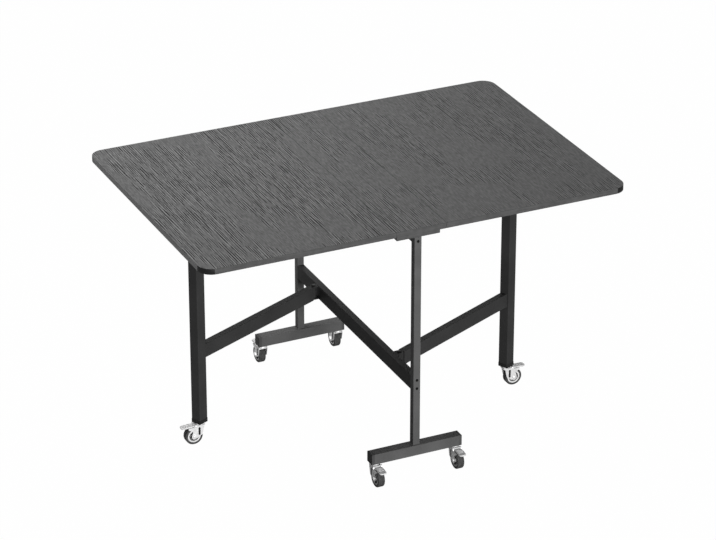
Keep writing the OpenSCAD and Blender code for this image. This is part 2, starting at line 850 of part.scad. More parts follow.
// Pressed brake pedal: a blade on a barrel, with a block curved to the tyre
module pedal(place) {
    blade_straight = pedal_length - pedal_corner;
    color(pedal_colour)
        at_caster(place)
            difference() {
                union() {
                    translate([0, pedal_point[0], pedal_point[1]]) {
                        along_x()
                            cylinder(h = 2 * (fork_inner - moving_gap), d = pedal_barrel_diameter,
                                center = true);
                        rotate([pedal_tilt, 0, 0])
                            translate([0, 0, -pedal_thickness / 2]) {
                                linear_extrude(height = pedal_thickness)
                                    pedal_outline(blade_straight);
                                for (n = [1:1:pedal_ridges])
                                    translate([-pedal_width / 2 + pedal_corner,
                                            -pedal_length + n * ridge_pitch, 0])
                                        cube([pedal_width - 2 * pedal_corner, ridge_width,
                                            pedal_thickness + ridge_height]);
                            }
                    }
                    translate([-brake_width / 2, brake_back, axle_point[1]])
                        cube([brake_width, brake_length, brake_top - axle_point[1]]);
                }
                cross_hole(pedal_point, pedal_pin_diameter, running_gap);
                cross_hole(axle_point, wheel_diameter, moving_gap);
            }
}

// Blade seen from above, from its root in the barrel's wall to rounded outer corners
module pedal_outline(straight) {
    root = (pedal_barrel_diameter + pedal_pin_diameter) / 4;
    translate([-pedal_width / 2, -straight]) square([pedal_width, straight - root]);
    translate([-pedal_width / 2 + pedal_corner, -pedal_length])
        square([pedal_width - 2 * pedal_corner, pedal_corner + past]);
    for (x = [-1, 1])
        translate([x * (pedal_width / 2 - pedal_corner), -straight])
            circle(r = pedal_corner);
}

centre_panel();
post(-1);  // post_front
post(1);  // post_back
foot_bar(-1);  // foot_bar_front
foot_bar(1);  // foot_bar_back
foot_end_caps();
lower_beam();
top_rail();
frame_bolts();
gate_lugs();
gate_pins();
hinge_frame_plates();
hinge_pins();
foot_caster_stems();
leaf(-1);  // leaf_left
leaf_rest(-1);  // leaf_rest_left
hinge_flaps(-1);  // hinge_flaps_left
leaf(1);  // leaf_right
leaf_rest(1);  // leaf_rest_right
hinge_flaps(1);  // hinge_flaps_right
gate_arm(-1);  // gate_arm_left
gate_post(-1);  // gate_post_left
gate_caps(-1);  // gate_caps_left
gate_stem(gate_left);  // gate_stem_left
gate_arm(1);  // gate_arm_right
gate_post(1);  // gate_post_right
gate_caps(1);  // gate_caps_right
gate_stem(gate_right);  // gate_stem_right
fork(front_left);  // fork_front_left
pins(front_left);  // pins_front_left
rim(front_left);  // rim_front_left
tyre(front_left);  // tyre_front_left
pedal(front_left);  // pedal_front_left
fork(front_right);  // fork_front_right
pins(front_right);  // pins_front_right
rim(front_right);  // rim_front_right
tyre(front_right);  // tyre_front_right
pedal(front_right);  // pedal_front_right
fork(back_left);  // fork_back_left
pins(back_left);  // pins_back_left
rim(back_left);  // rim_back_left
tyre(back_left);  // tyre_back_left
pedal(back_left);  // pedal_back_left
fork(back_right);  // fork_back_right
pins(back_right);  // pins_back_right
rim(back_right);  // rim_back_right
tyre(back_right);  // tyre_back_right
pedal(back_right);  // pedal_back_right
fork(gate_left);  // fork_gate_left
pins(gate_left);  // pins_gate_left
rim(gate_left);  // rim_gate_left
tyre(gate_left);  // tyre_gate_left
pedal(gate_left);  // pedal_gate_left
fork(gate_right);  // fork_gate_right
pins(gate_right);  // pins_gate_right
rim(gate_right);  // rim_gate_right
tyre(gate_right);  // tyre_gate_right
pedal(gate_right);  // pedal_gate_right
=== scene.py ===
# %% [markdown]
# # A folding dining table
#
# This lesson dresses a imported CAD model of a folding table. Two leaves are hinged to a narrow
# fixed panel, and two gates swing out from the steel frame to hold them up. The CAD model
# gives the frame that everything is placed on, and it is loaded first. Blender works in
# metres here, with the floor at Z = 0 and the long side of the open top along X.

# %% Load the CAD frame
import json
import math

import bmesh
import bpy
from mathutils import Matrix, Vector


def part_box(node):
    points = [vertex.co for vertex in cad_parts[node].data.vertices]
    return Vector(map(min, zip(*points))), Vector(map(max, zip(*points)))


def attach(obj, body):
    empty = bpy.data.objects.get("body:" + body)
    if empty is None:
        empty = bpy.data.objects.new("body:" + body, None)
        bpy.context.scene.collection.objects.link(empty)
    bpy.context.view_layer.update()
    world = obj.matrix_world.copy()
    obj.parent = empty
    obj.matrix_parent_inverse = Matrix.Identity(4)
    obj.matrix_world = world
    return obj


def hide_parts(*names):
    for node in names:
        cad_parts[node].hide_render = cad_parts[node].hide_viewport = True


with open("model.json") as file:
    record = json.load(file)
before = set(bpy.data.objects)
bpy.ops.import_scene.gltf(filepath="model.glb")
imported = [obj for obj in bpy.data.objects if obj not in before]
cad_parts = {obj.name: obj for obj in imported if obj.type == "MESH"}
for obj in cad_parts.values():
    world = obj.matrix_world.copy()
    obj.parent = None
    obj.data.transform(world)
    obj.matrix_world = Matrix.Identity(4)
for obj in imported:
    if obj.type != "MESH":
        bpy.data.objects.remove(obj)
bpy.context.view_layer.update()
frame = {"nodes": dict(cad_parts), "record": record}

MM = 0.001

# %% [markdown]
# ## The camera
#
# The photograph was taken from a good way off with a long lens, so the long edges of the top
# stay almost parallel. The place and the lens come from fitting the table's known corners.
# A camera in Blender looks along its own -Z, so its three axes make the columns of its
# rotation.

# %% Camera
CAMERA_PLACE = Vector((-3.29392, -7.07775, 4.23613))
CAMERA_RIGHT = Vector((0.90623, -0.42278, 0.0))
CAMERA_UP = Vector((0.18514, 0.39685, 0.89902))
LENS_MM = 163.18

lens = bpy.data.cameras.new("camera")
lens.lens = LENS_MM
lens.sensor_fit = "HORIZONTAL"
lens.clip_start = 0.1
lens.clip_end = 60
camera = bpy.data.objects.new("camera", lens)
backward = CAMERA_RIGHT.cross(CAMERA_UP)
turn = Matrix((CAMERA_RIGHT, CAMERA_UP, backward)).transposed()
camera.matrix_world = Matrix.Translation(CAMERA_PLACE) @ turn.to_4x4()
bpy.context.scene.collection.objects.link(camera)
bpy.context.scene.camera = camera
print("camera distance:", round(CAMERA_PLACE.length, 2), "m")

# %% [markdown]
# ## Shader maths in Python
#
# A material is a graph of nodes, and a graph of sums and products soon gets long. Two small
# classes keep it short. `Paint` holds one material and adds any node with one method.
# `Number` wraps a socket, so that `1 - mask * 0.5` adds the Math nodes by itself.

# %% Shader helpers
class Number:
    """A number in a shader that changes over the surface, for use in expressions."""

    def __init__(self, paint, socket):
        self.paint = paint
        self.socket = socket

    def math(self, operation, first, second=0.0):
        node = self.paint.node("ShaderNodeMath", {"operation": operation}, {0: first, 1: second})
        return Number(self.paint, node.outputs[0])

    def __add__(self, other):
        return self.math("ADD", self, other)

    def __radd__(self, other):
        return self.math("ADD", other, self)

    def __sub__(self, other):
        return self.math("SUBTRACT", self, other)

    def __rsub__(self, other):
        return self.math("SUBTRACT", other, self)

    def __mul__(self, other):
        return self.math("MULTIPLY", self, other)

    def __abs__(self):
        return self.math("ABSOLUTE", self)

    def sine(self):
        return self.math("SINE", self)

    def ramp(self, low, high, smooth=True):
        """0 below low, 1 above high, and an even or eased climb between them."""
        node = self.paint.node("ShaderNodeMapRange",
                               {"interpolation_type": "SMOOTHSTEP" if smooth else "LINEAR"},
                               {"Value": self, "From Min": low, "From Max": high})
        return Number(self.paint, node.outputs["Result"])


class Paint:
    """One material. Patterns read the object's own coordinates, which are metres here."""

    def __init__(self, name):
        self.material = bpy.data.materials.new(name)
        self.material.use_nodes = True
        self.tree = self.material.node_tree
        self.shader = self.tree.nodes["Principled BSDF"]
        self.place = self.node("ShaderNodeTexCoord").outputs["Object"]

    def node(self, kind, settings={}, sockets={}):
        node = self.tree.nodes.new(kind)
        for name, value in settings.items():
            setattr(node, name, value)
        for name, value in sockets.items():
            self.feed(node.inputs[name], value)
        return node

    def feed(self, socket, value):
        if isinstance(value, Number):
            value = value.socket
        if isinstance(value, bpy.types.NodeSocket):
            self.tree.links.new(value, socket)
        else:
            socket.default_value = value

    def axes(self):
        split = self.node("ShaderNodeSeparateXYZ", {}, {0: self.place})
        return [Number(self, out) for out in split.outputs]

    def noise(self, per_metre, detail=2.0, roughness=0.5, offset=(0, 0, 0)):
        """Cloudy noise from 0 to 1, with its number of spots per metre along X, Y and Z."""
        scaled = self.node("ShaderNodeMapping", {},
                           {"Vector": self.place, "Location": offset, "Scale": per_metre})
        cloud = self.node("ShaderNodeTexNoise", {},
                          {"Vector": scaled.outputs[0], "Scale": 1.0, "Detail": detail,
                           "Roughness": roughness})
        return Number(self, cloud.outputs["Fac"])

    def blend(self, factor, first, second):
        """A colour between two colours, each given as a tuple or a socket."""
        mix = self.node("ShaderNodeMix", {"data_type": "RGBA"},
                        {0: factor, 6: first, 7: second})
        return mix.outputs[2]

    def bump(self, height, distance):
        """Small relief, as deep as distance where height goes from 0 to 1."""
        relief = self.node("ShaderNodeBump", {}, {"Height": height, "Distance": distance})
        self.feed(self.shader.inputs["Normal"], relief.outputs[0])

    def finish(self, **sockets):
        """Sets or links the shader's own sockets, such as Base_Color or Roughness."""
        for name, value in sockets.items():
            self.feed(self.shader.inputs[name.replace("_", " ")], value)
        return self.material


def grey(level):
    """The colour that shows as this grey level of 255 under plain light."""
    value = level / 255
    linear = value / 12.92 if value <= 0.04045 else ((value + 0.055) / 1.055) ** 2.4
    return (linear, linear, linear, 1.0)


print("a mid grey is", [round(c, 3) for c in grey(128)])

# %% [markdown]
# ## Grey wood-grain laminate
#
# The boards wear a printed and embossed laminate: grey wood, with the grain across the
# table's length, along Y. Close up it is thousands of thin dark dashes with pale veins
# between them, crowded in some places and sparse in others. A sine wave along X draws even
# lines, and a slow noise lets them wander. Another noise, stretched along Y, cuts them into
# dashes, and two slower ones say where they crowd. All of them read Object coordinates, so
# the grain runs on from board to board.

# %% Laminate on the faces
LINES_PER_METRE = 172
GROUND_DARK, GROUND_LIGHT, GROUND_SHADED = grey(86), grey(113), grey(84)
VEIN_TONE, DASH_TONE = grey(168), grey(14)
GRAIN_DEPTH = 0.12 * MM


def laminate():
    paint = Paint("grey_wood_laminate")
    x, y, _ = paint.axes()

    # How strong the lines are: in patches, which are denser and livelier at the left
    bands = paint.noise((15, 4.5, 2), detail=2.0, offset=(7, 3, 0))
    patches = paint.noise((5, 4, 2), detail=1.0, offset=(2, 9, 0))
    crowd = (bands * 0.6 + patches * 0.4 - x * 0.06).ramp(0.45, 0.53)
    lively = 0.72 + (0 - x).ramp(-0.1, 0.25) * 0.28
    strength = (0.12 + crowd * 0.88) * lively

    # The lines, cut into dashes: the wave's troughs are dark and its crests are pale
    wander = (paint.noise((26, 0.6, 2), detail=1.0, offset=(3, 6, 0)) * 1.6
              + paint.noise((80, 6, 3), detail=0.0, offset=(8, 2, 0)) * 0.6)
    wave = ((x * LINES_PER_METRE + wander) * math.tau).sine()
    cuts = paint.noise((170, 15, 4), detail=1.5, offset=(1, 5, 0)).ramp(0.44, 0.55)
    dashes = cuts * strength
    dark = (0 - wave).ramp(-0.2, 0.6) * dashes
    light = wave.ramp(0.2, 0.9) * dashes * lively

    # The ground between them, with painted shade that darkens it slowly towards the front right
    # corner
    fine = paint.noise((480, 60, 6), detail=1.0, offset=(4, 2, 0))
    weave = paint.noise((280, 62, 20), detail=1.0, offset=(9, 8, 0))
    fibres = (weave * 0.7 + fine * 0.3).ramp(0.32, 0.68, smooth=False)
    ground = paint.blend(fibres, GROUND_DARK, GROUND_LIGHT)
    painted_shade_slope = (x * 0.8 - y * 0.6).ramp(-0.2, 0.75, smooth=False)
    shaded = paint.blend(painted_shade_slope * 0.35, ground, GROUND_SHADED)
    veined = paint.blend(light * 0.52, shaded, VEIN_TONE)
    grained = paint.blend(dark, veined, DASH_TONE)
    paint.bump(fine * 0.3 + light - dark, GRAIN_DEPTH)
    return paint.finish(Base_Color=grained, Roughness=0.6 + fine * 0.1,
                        Specular_IOR_Level=0.05)


LAMINATE = laminate()
print("laminate nodes:", len(LAMINATE.node_tree.nodes))

# %% [markdown]
# ## The boards' edge band
#
# A strip of the same pattern is glued round each board, with its grain lying along the strip. It
# is painted paler on the two ends of the table, which is painted light, and the cut edge of the
# top laminate draws a darker line above it. The rounded corners are painted near-black instead,
# which is painted shade. One material does all of it: the mask for the corners is a product of
# two ramps, one along X and one along Y.

# %% Edge band
TABLE_TOP = 0.730
TOP_HALF_LENGTH = 0.600
TOP_HALF_WIDTH = 0.400
CORNER_RADIUS = 38 * MM
SHADED_CORNER_LAP = 6 * MM
LAMINATE_LINE = (1.4 * MM, 0.6 * MM)


def edge_band():
    paint = Paint("edge_band")
    x, y, z = paint.axes()
    strands = paint.noise((12, 12, 900), detail=1.5)
    long_tone = paint.noise((60, 60, 60), detail=2.0, offset=(3, 1, 2))
    tone = (strands * 0.6 + long_tone * 0.4).ramp(0.32, 0.68, smooth=False)
    long_strip = paint.blend(tone, grey(66), grey(90))
    # The ends of the table get a paler strip: painted light for the light that falls on them
    painted_lit_end = paint.blend(tone, grey(114), grey(144))
    on_lit_end = abs(x).ramp(TOP_HALF_LENGTH - MM, TOP_HALF_LENGTH - MM / 2)
    wood = paint.blend(on_lit_end, long_strip, painted_lit_end)
    top_line = z.ramp(TABLE_TOP - LAMINATE_LINE[0], TABLE_TOP - LAMINATE_LINE[1])
    lined = paint.blend(top_line * 0.6, wood, grey(50))
    # The rounded corners are painted near-black: painted shade
    shade_start_x = TOP_HALF_LENGTH - CORNER_RADIUS + SHADED_CORNER_LAP
    shade_start_y = TOP_HALF_WIDTH - CORNER_RADIUS
    past_x = abs(x).ramp(shade_start_x - MM, shade_start_x + MM)
    past_y = abs(y).ramp(shade_start_y - MM, shade_start_y + MM)
    corner_shaded = paint.blend(past_x * past_y, lined, grey(28))
    paint.bump(strands, 0.1 * MM)
    return paint.finish(Base_Color=corner_shaded, Roughness=0.5 - strands * 0.1,
                        Specular_IOR_Level=0.15)


EDGE_BAND = edge_band()
print("edge band nodes:", len(EDGE_BAND.node_tree.nodes))

# %% [markdown]
# ## Powder coat
#
# The steel tubes are powder coated. Melted powder sets with a faint orange-peel skin, so
# the finish is a plain dark grey with very fine mottling, a soft sheen and a shallow bump.
# The T-shaped stands wear a lighter grey than the gates and the lower beam, though their coat is
# the same: the lighter grey is painted light, for the light that their front faces catch.
# Moulded plastic has a finer grain and hardly any mottling.

# %% Powder coat, plastic and bolts
def powder_coat(name, level, sheen=0.45):
    paint = Paint(name)
    peel = paint.noise((700, 700, 700), detail=2.0)
    cloud = paint.noise((14, 14, 14), detail=3.0, offset=(5, 5, 5))
    speck = paint.noise((1600, 1600, 1600), detail=1.0, offset=(2, 7, 1)).ramp(0.62, 0.74)
    tone = (peel * 0.35 + cloud * 0.65).ramp(0.35, 0.65, smooth=False)
    coat = paint.blend(tone, grey(level * 0.93), grey(level * 1.07))
    speckled = paint.blend(speck * 0.25, coat, grey(level * 1.5))
    paint.bump(peel, 0.08 * MM)
    return paint.finish(Base_Color=speckled, Roughness=sheen + peel * 0.12,
                        Specular_IOR_Level=0.05)


def moulded(name, level, gloss=0.5):
    paint = Paint(name)
    grain = paint.noise((1100, 1100, 1100), detail=2.0)
    cloud = paint.noise((30, 30, 30), detail=2.0, offset=(1, 4, 2))
    tone = cloud.ramp(0.35, 0.65, smooth=False)
    skin = paint.blend(tone, grey(level * 0.95), grey(level * 1.05))
    paint.bump(grain, 0.05 * MM)
    return paint.finish(Base_Color=skin, Roughness=gloss + grain * 0.15,
                        Specular_IOR_Level=0.05)


# The stands' lighter grey is painted light on the same coat as the gates
STAND_COAT_PAINTED_LIGHT = powder_coat("stand_coat_painted_light", 88)
GATE_COAT = powder_coat("gate_powder_coat", 55)
BLACK_PLASTIC = moulded("black_plastic", 40)
RIM_PLASTIC = moulded("rim_plastic", 232, gloss=0.35)
END_CAP_PLASTIC = moulded("end_cap_plastic", 76)
# A darker grey for the rim's recess: painted shade
RIM_POCKET_SHADE = moulded("rim_pocket_painted_shade", 112)
BOLT_BLACK = powder_coat("bolt_black", 22, sheen=0.3)
print("coats and plastics:", STAND_COAT_PAINTED_LIGHT.name, GATE_COAT.name, BLACK_PLASTIC.name)

# %% [markdown]
# ## Zinc, plated steel and rubber
#
# The casters are bright zinc-plated sheet steel. Plating keeps a faint spangle, so the
# roughness and the tone vary a little. A full metal would only mirror the room, and a low
# Metallic value keeps the pale grey of the plating. The pedal is a duller plate, and a
# sheared edge shows the darker steel. The tyres are grey rubber, quite matt, with a dusty
# bloom.

# %% Metals and rubber
def plated(name, level, polish, metallic):
    paint = Paint(name)
    spangle = paint.noise((420, 420, 420), detail=2.0, roughness=0.65)
    cloud = paint.noise((90, 90, 90), detail=2.0, offset=(3, 3, 8))
    tone = cloud.ramp(0.3, 0.7, smooth=False)
    metal = paint.blend(tone, grey(level * 0.95), grey(level * 1.04))
    paint.bump(spangle, 0.03 * MM)
    return paint.finish(Base_Color=metal, Metallic=metallic,
                        Roughness=polish + spangle * 0.14)


def rubber():
    paint = Paint("tyre_rubber")
    skin = paint.noise((1300, 1300, 1300), detail=2.0)
    dust = paint.noise((160, 160, 160), detail=3.0, offset=(8, 1, 4))
    shade = paint.blend(dust.ramp(0.4, 0.7), grey(60), grey(78))
    paint.bump(skin, 0.06 * MM)
    return paint.finish(Base_Color=shade, Roughness=0.72 + skin * 0.12,
                        Specular_IOR_Level=0.3)


ZINC = plated("bright_zinc", 238, polish=0.34, metallic=0.35)
PEDAL_STEEL = plated("pedal_steel", 218, polish=0.5, metallic=0.15)
CUT_EDGE = plated("cut_edge", 105, polish=0.5, metallic=0.2)
TYRE_RUBBER = rubber()
print("metals:", ZINC.name, PEDAL_STEEL.name, "rubber:", TYRE_RUBBER.name)

# %% [markdown]
# ## Materials on the CAD pieces
#
# The tubes, lugs, stems, plates and plugs already have the right shape, so they stay as CAD
# pieces and only get a finish. Every material slot of a piece's mesh is filled, and the
# choice is made by the start of the piece's name.

# %% Dress the CAD nodes
FINISHES = {
    "leaf_": LAMINATE, "centre_panel": LAMINATE, "leaf_rest_": BLACK_PLASTIC,
    "post_": STAND_COAT_PAINTED_LIGHT, "foot_bar_": STAND_COAT_PAINTED_LIGHT, "top_rail": STAND_COAT_PAINTED_LIGHT,
    "lower_beam": GATE_COAT, "gate_lugs": GATE_COAT,
    "gate_arm_": GATE_COAT, "gate_post_": GATE_COAT,
    "foot_end_caps": BLACK_PLASTIC, "gate_caps_": BLACK_PLASTIC,
    "gate_pins": BOLT_BLACK, "frame_bolts": BOLT_BLACK,
    "hinge_": ZINC, "foot_caster_stems": ZINC, "gate_stem_": ZINC,
    "fork_": ZINC, "pins_": ZINC, "rim_": RIM_PLASTIC, "tyre_": TYRE_RUBBER,
    "pedal_": PEDAL_STEEL,
}


def finish_for(name):
    matches = [start for start in FINISHES if name.startswith(start)]
    return FINISHES[max(matches, key=len)]


for name, piece in frame["nodes"].items():
    piece.data.materials.clear()
    piece.data.materials.append(finish_for(name))
print("dressed", len(frame["nodes"]), "CAD nodes")

# %% [markdown]
# ## A helper for new pieces
#
# Every new piece is made the same way at the end: its mesh is cleaned, becomes an object at
# the origin, gets its materials, rides on a CAD body and may stand for a CAD node. Small
# faces are shaded smooth. Broad faces stay flat, since a blended normal at their corners
# would draw soft diagonals across them.

# %% Make a piece from a bmesh
SMOOTH_ANGLE = math.radians(32)
BROAD_FACE = 1e-4


def make_piece(name, shape, materials, body, nodes=()):
    bmesh.ops.remove_doubles(shape, verts=shape.verts, dist=1e-6)
    bmesh.ops.recalc_face_normals(shape, faces=shape.faces)
    for face in shape.faces:
        face.smooth = face.calc_area() < BROAD_FACE
    for edge in shape.edges:
        if len(edge.link_faces) == 2:
            edge.smooth = edge.calc_face_angle(0.0) < SMOOTH_ANGLE
    mesh = bpy.data.meshes.new(name)
    shape.to_mesh(mesh)
    shape.free()
    for material in materials:
        mesh.materials.append(material)
    piece = bpy.data.objects.new(name, mesh)
    bpy.context.scene.collection.objects.link(piece)
    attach(piece, body)
    if nodes:
        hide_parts(*nodes)
    print(name, "has", len(mesh.polygons), "faces")
    return piece

# %% [markdown]
# ## The leaves
#
# A leaf is a board with two rounded outer corners. It starts as one flat face. Its outer
# corners are bevelled as vertices, which gives true arcs, the face is extruded to the
# board's thickness, and the sharp rim is eased by a third of a millimetre, as a router
# leaves it. The helpers made here serve the panel and the pedals too.

# %% Leaves
EASED_EDGE = 0.35 * MM
CORNER_STEPS = 14
SHARP = math.radians(60)  # an edge that bends more than this is eased


def flat_sheet(low_x, high_x, low_y, high_y, height):
    """A flat rectangle between these sides, in metres."""
    shape = bmesh.new()
    bmesh.ops.create_grid(shape, x_segments=1, y_segments=1, size=0.5)
    bmesh.ops.scale(shape, vec=(high_x - low_x, high_y - low_y, 1), verts=shape.verts)
    middle = ((low_x + high_x) / 2, (low_y + high_y) / 2, height)
    bmesh.ops.translate(shape, vec=middle, verts=shape.verts)
    return shape


def round_corners(shape, corners, radius, steps):
    bmesh.ops.bevel(shape, geom=corners, offset=radius, offset_type="OFFSET", segments=steps,
                    profile=0.5, affect="VERTICES", material=-1)


def thicken(shape, along):
    """Extrudes the faces of a flat shape by this vector."""
    grown = bmesh.ops.extrude_face_region(shape, geom=shape.faces[:])
    raised = [part for part in grown["geom"] if isinstance(part, bmesh.types.BMVert)]
    bmesh.ops.translate(shape, vec=along, verts=raised)
    bmesh.ops.recalc_face_normals(shape, faces=shape.faces)


def ease_edges(shape, edges, width, steps=2, keep_apart=False):
    bmesh.ops.bevel(shape, geom=edges, offset=width, offset_type="OFFSET", segments=steps,
                    profile=0.5, affect="EDGES", material=-1, clamp_overlap=keep_apart)


def ease_rim(shape, width, steps=2):
    """Rounds every sharp edge, and stops each bevel where it would meet another."""
    rim = [edge for edge in shape.edges
           if len(edge.link_faces) == 2 and edge.calc_face_angle(0.0) > SHARP]
    ease_edges(shape, rim, width, steps, keep_apart=True)


def finish_board(name, shape, body, node):
    """Eases a board's edges and gives it laminate faces and banded sides."""
    ease_rim(shape, EASED_EDGE)
    shape.normal_update()
    for face in shape.faces:
        face.material_index = 0 if abs(face.normal.z) > 0.9 else 1
    return make_piece(name, shape, (LAMINATE, EDGE_BAND), body, (node,))


def board_leaf(side, direction):
    node = f"leaf_{side}"
    low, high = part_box(node)
    shape = flat_sheet(low.x, high.x, low.y, high.y, low.z)
    outer = [corner for corner in shape.verts if corner.co.x * direction > TOP_HALF_LENGTH / 2]
    round_corners(shape, outer, CORNER_RADIUS, CORNER_STEPS)
    thicken(shape, (0, 0, high.z - low.z))
    return finish_board(f"board_{side}", shape, f"{side}_leaf", node)


board_leaf("left", -1)
board_leaf("right", 1)

# %% [markdown]
# ## The fixed panel
#
# The panel is thicker than the leaves, and a step runs under its right side so that a leaf
# can fold down past it. Its end is drawn as one flat face of six corners and extruded along
# the table's width, so the step is there from end to end.

# %% Fixed panel
REBATE_WIDTH = 18 * MM
LEAF_THICKNESS = 16 * MM


def fixed_panel():
    low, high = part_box("centre_panel")
    step_x, step_z = high.x - REBATE_WIDTH, high.z - LEAF_THICKNESS
    profile = [(low.x, low.z), (step_x, low.z), (step_x, step_z),
               (high.x, step_z), (high.x, high.z), (low.x, high.z)]
    shape = bmesh.new()
    shape.faces.new([shape.verts.new((x, low.y, z)) for x, z in profile])
    thicken(shape, (0, high.y - low.y, 0))
    return finish_board("board_fixed_panel", shape, "frame", "centre_panel")


fixed_panel()

# %% [markdown]
# ## Softened copies of CAD pieces
#
# Pressed steel, plugs and lugs never have knife edges. Each of these pieces starts as a copy
# of its CAD mesh. Doubled corners are merged, flat areas become single faces again, and the
# sharp edges get a narrow bevel that catches the light.

# %% Soften the edges of CAD pieces
BODY_OF = {node: body for body, nodes in frame["record"]["behaviour"]["bodies"].items()
           for node in nodes}


def cad_copy(node):
    shape = bmesh.new()
    shape.from_mesh(frame["nodes"][node].data)
    shape.transform(frame["nodes"][node].matrix_world)
    bmesh.ops.remove_doubles(shape, verts=shape.verts, dist=0.01 * MM)
    bmesh.ops.dissolve_limit(shape, angle_limit=math.radians(2), verts=shape.verts,
                             edges=shape.edges)
    bmesh.ops.recalc_face_normals(shape, faces=shape.faces)
    return shape


def softened(node, width, material):
    shape = cad_copy(node)
    ease_rim(shape, width)
    return make_piece(f"soft_{node}", shape, (material,), BODY_OF[node],
                      (node,))


softened("foot_end_caps", 0.8 * MM, END_CAP_PLASTIC)
softened("gate_lugs", 0.4 * MM, GATE_COAT)
softened("gate_pins", 0.5 * MM, BOLT_BLACK)
for side in ("left", "right"):
    softened(f"leaf_rest_{side}", 1.0 * MM, BLACK_PLASTIC)

# %% [markdown]
# ## Foot plugs of the gates
#
# A moulded plug closes each end of a gate post. Its collar stands a little proud of the tube,
# so the foot looks slightly wider than the post above it. The copy of the CAD plug is scaled
# outwards from the post's axis below the tube's end, and then softened.

# %% Gate plugs
COLLAR_GROWTH = 1.035
PLUG_EDGE = 0.8 * MM


def gate_plugs(side):
    node = f"gate_caps_{side}"
    low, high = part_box(f"gate_post_{side}")
    axis = (low + high) / 2
    shape = cad_copy(node)
    for corner in shape.verts:
        below_tube = corner.co.z < low.z + MM / 10
        if below_tube:
            corner.co.x = axis.x + (corner.co.x - axis.x) * COLLAR_GROWTH
            corner.co.y = axis.y + (corner.co.y - axis.y) * COLLAR_GROWTH
    ease_rim(shape, PLUG_EDGE)
    return make_piece(f"plugs_gate_{side}", shape, (BLACK_PLASTIC,), BODY_OF[node],
                      (node,))


gate_plugs("left")
gate_plugs("right")

# %% [markdown]
# ## Where the casters stand
#
# All six casters are alike. Each piece is made once in the caster's own frame, with the swivel
# axis as Z, the wheel's axle along X and the wheel trailing towards -Y. The matrix that takes
# it to its place is found from the CAD rim and the direction in which the caster points.

# %% Caster places
HEADINGS = {"front_left": 0, "front_right": 0, "back_left": 180, "back_right": 180,
            "gate_left": -90, "gate_right": 90}
AXLE_BACK = 20 * MM
AXLE_HEIGHT = 25 * MM


def caster_place(name):
    low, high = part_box(f"rim_{name}")
    axle = (low + high) / 2
    heading = Matrix.Rotation(math.radians(HEADINGS[name]), 4, "Z")
    to_swivel = Matrix.Translation((0, AXLE_BACK, 0))
    return Matrix.Translation((axle.x, axle.y, 0)) @ heading @ to_swivel


for name in HEADINGS:
    print(name, "swivel axis at", [round(v / MM, 1) for v in caster_place(name).translation])

# %% [markdown]
# ## Turned shapes
#
# Wheels, rivets and bolt heads are bodies of revolution. `lathe` takes a closed outline as
# points of (along the axis, radius) in millimetres and spins it once round X. `arc` lists
# the points of a rounded corner and `mirrored` adds an outline's other half, so outlines
# stay short. The sizes in the cells for casters, bolts, gates and screws are millimetres,
# and MM turns them into metres where they meet the model.

# %% Lathe
def arc(along, radius, size, start, stop, steps=5):
    angles = [math.radians(start + (stop - start) * n / steps) for n in range(steps + 1)]
    return [(along + size * math.cos(a), radius + size * math.sin(a)) for a in angles]


def mirrored(half):
    """The outline with the mirror image of its half before it."""
    return [(-along, radius) for along, radius in reversed(half)] + half


def lathe(outline, steps=64):
    shape = bmesh.new()
    ring = [shape.verts.new((along * MM, 0, radius * MM)) for along, radius in outline]
    edges = [shape.edges.new((ring[n - 1], ring[n])) for n in range(len(ring))]
    bmesh.ops.spin(shape, geom=ring + edges, cent=(0, 0, 0), axis=(1, 0, 0), dvec=(0, 0, 0),
                   angle=math.tau, steps=steps, use_merge=True, use_duplicate=False)
    bmesh.ops.remove_doubles(shape, verts=shape.verts, dist=1e-6)
    return shape


def add_shape(target, other, matrix=Matrix()):
    """Adds the faces of one bmesh to another, moved by a matrix."""
    moved = bpy.data.meshes.new("moved")
    other.transform(matrix)
    other.to_mesh(moved)
    other.free()
    target.from_mesh(moved)
    bpy.data.meshes.remove(moved)


def block(width, depth, height, bevel=0.0):
    """A block of these sizes in millimetres, round the origin, with edges eased by bevel if one
    is given.
    """
    shape = bmesh.new()
    bmesh.ops.create_cube(shape, size=1.0)
    bmesh.ops.scale(shape, vec=(width * MM, depth * MM, height * MM), verts=shape.verts)
    if bevel:
        ease_edges(shape, shape.edges[:], bevel * MM)
    return shape


def shift(x, y, z):
    """The matrix of a move by millimetres."""
    return Matrix.Translation((x * MM, y * MM, z * MM))


def paint_all(shape, index):
    """Gives every face the material with this number."""
    for face in shape.faces:
        face.material_index = index


AXLE = Matrix.Translation((0, -AXLE_BACK, AXLE_HEIGHT))
print("the axle lies at", [round(v / MM, 1) for v in AXLE.translation], "mm from the swivel")

# %% [markdown]
# ## Tyres
#
# The grey tyre is a soft rubber tread moulded on the rim. Its shoulders are rounded, and three
# fine grooves run round it. The grooves are notches in the outline that is spun.

# %% Tyres
TYRE_HALF, TYRE_RADIUS = 9.5, 25
TYRE_BORE, BORE_EASE = 18.5, 0.3
TYRE_SHOULDER = 3
GROOVE_APART, GROOVE_DEPTH = 4.0, 0.9
GROOVE_TOP_HALF, GROOVE_FLOOR_HALF = 0.7, 0.5


def tyre_outline():
    floor = TYRE_RADIUS - GROOVE_DEPTH
    half_groove = [(GROOVE_FLOOR_HALF, floor), (GROOVE_TOP_HALF, TYRE_RADIUS)]
    side_groove = [(GROOVE_APART + along, radius) for along, radius in mirrored(half_groove)]
    shoulder = arc(TYRE_HALF - TYRE_SHOULDER, TYRE_RADIUS - TYRE_SHOULDER, TYRE_SHOULDER, 90, 0)
    bore = [(TYRE_HALF, TYRE_BORE + BORE_EASE), (TYRE_HALF - BORE_EASE, TYRE_BORE)]
    return mirrored(half_groove + side_groove + shoulder + bore)


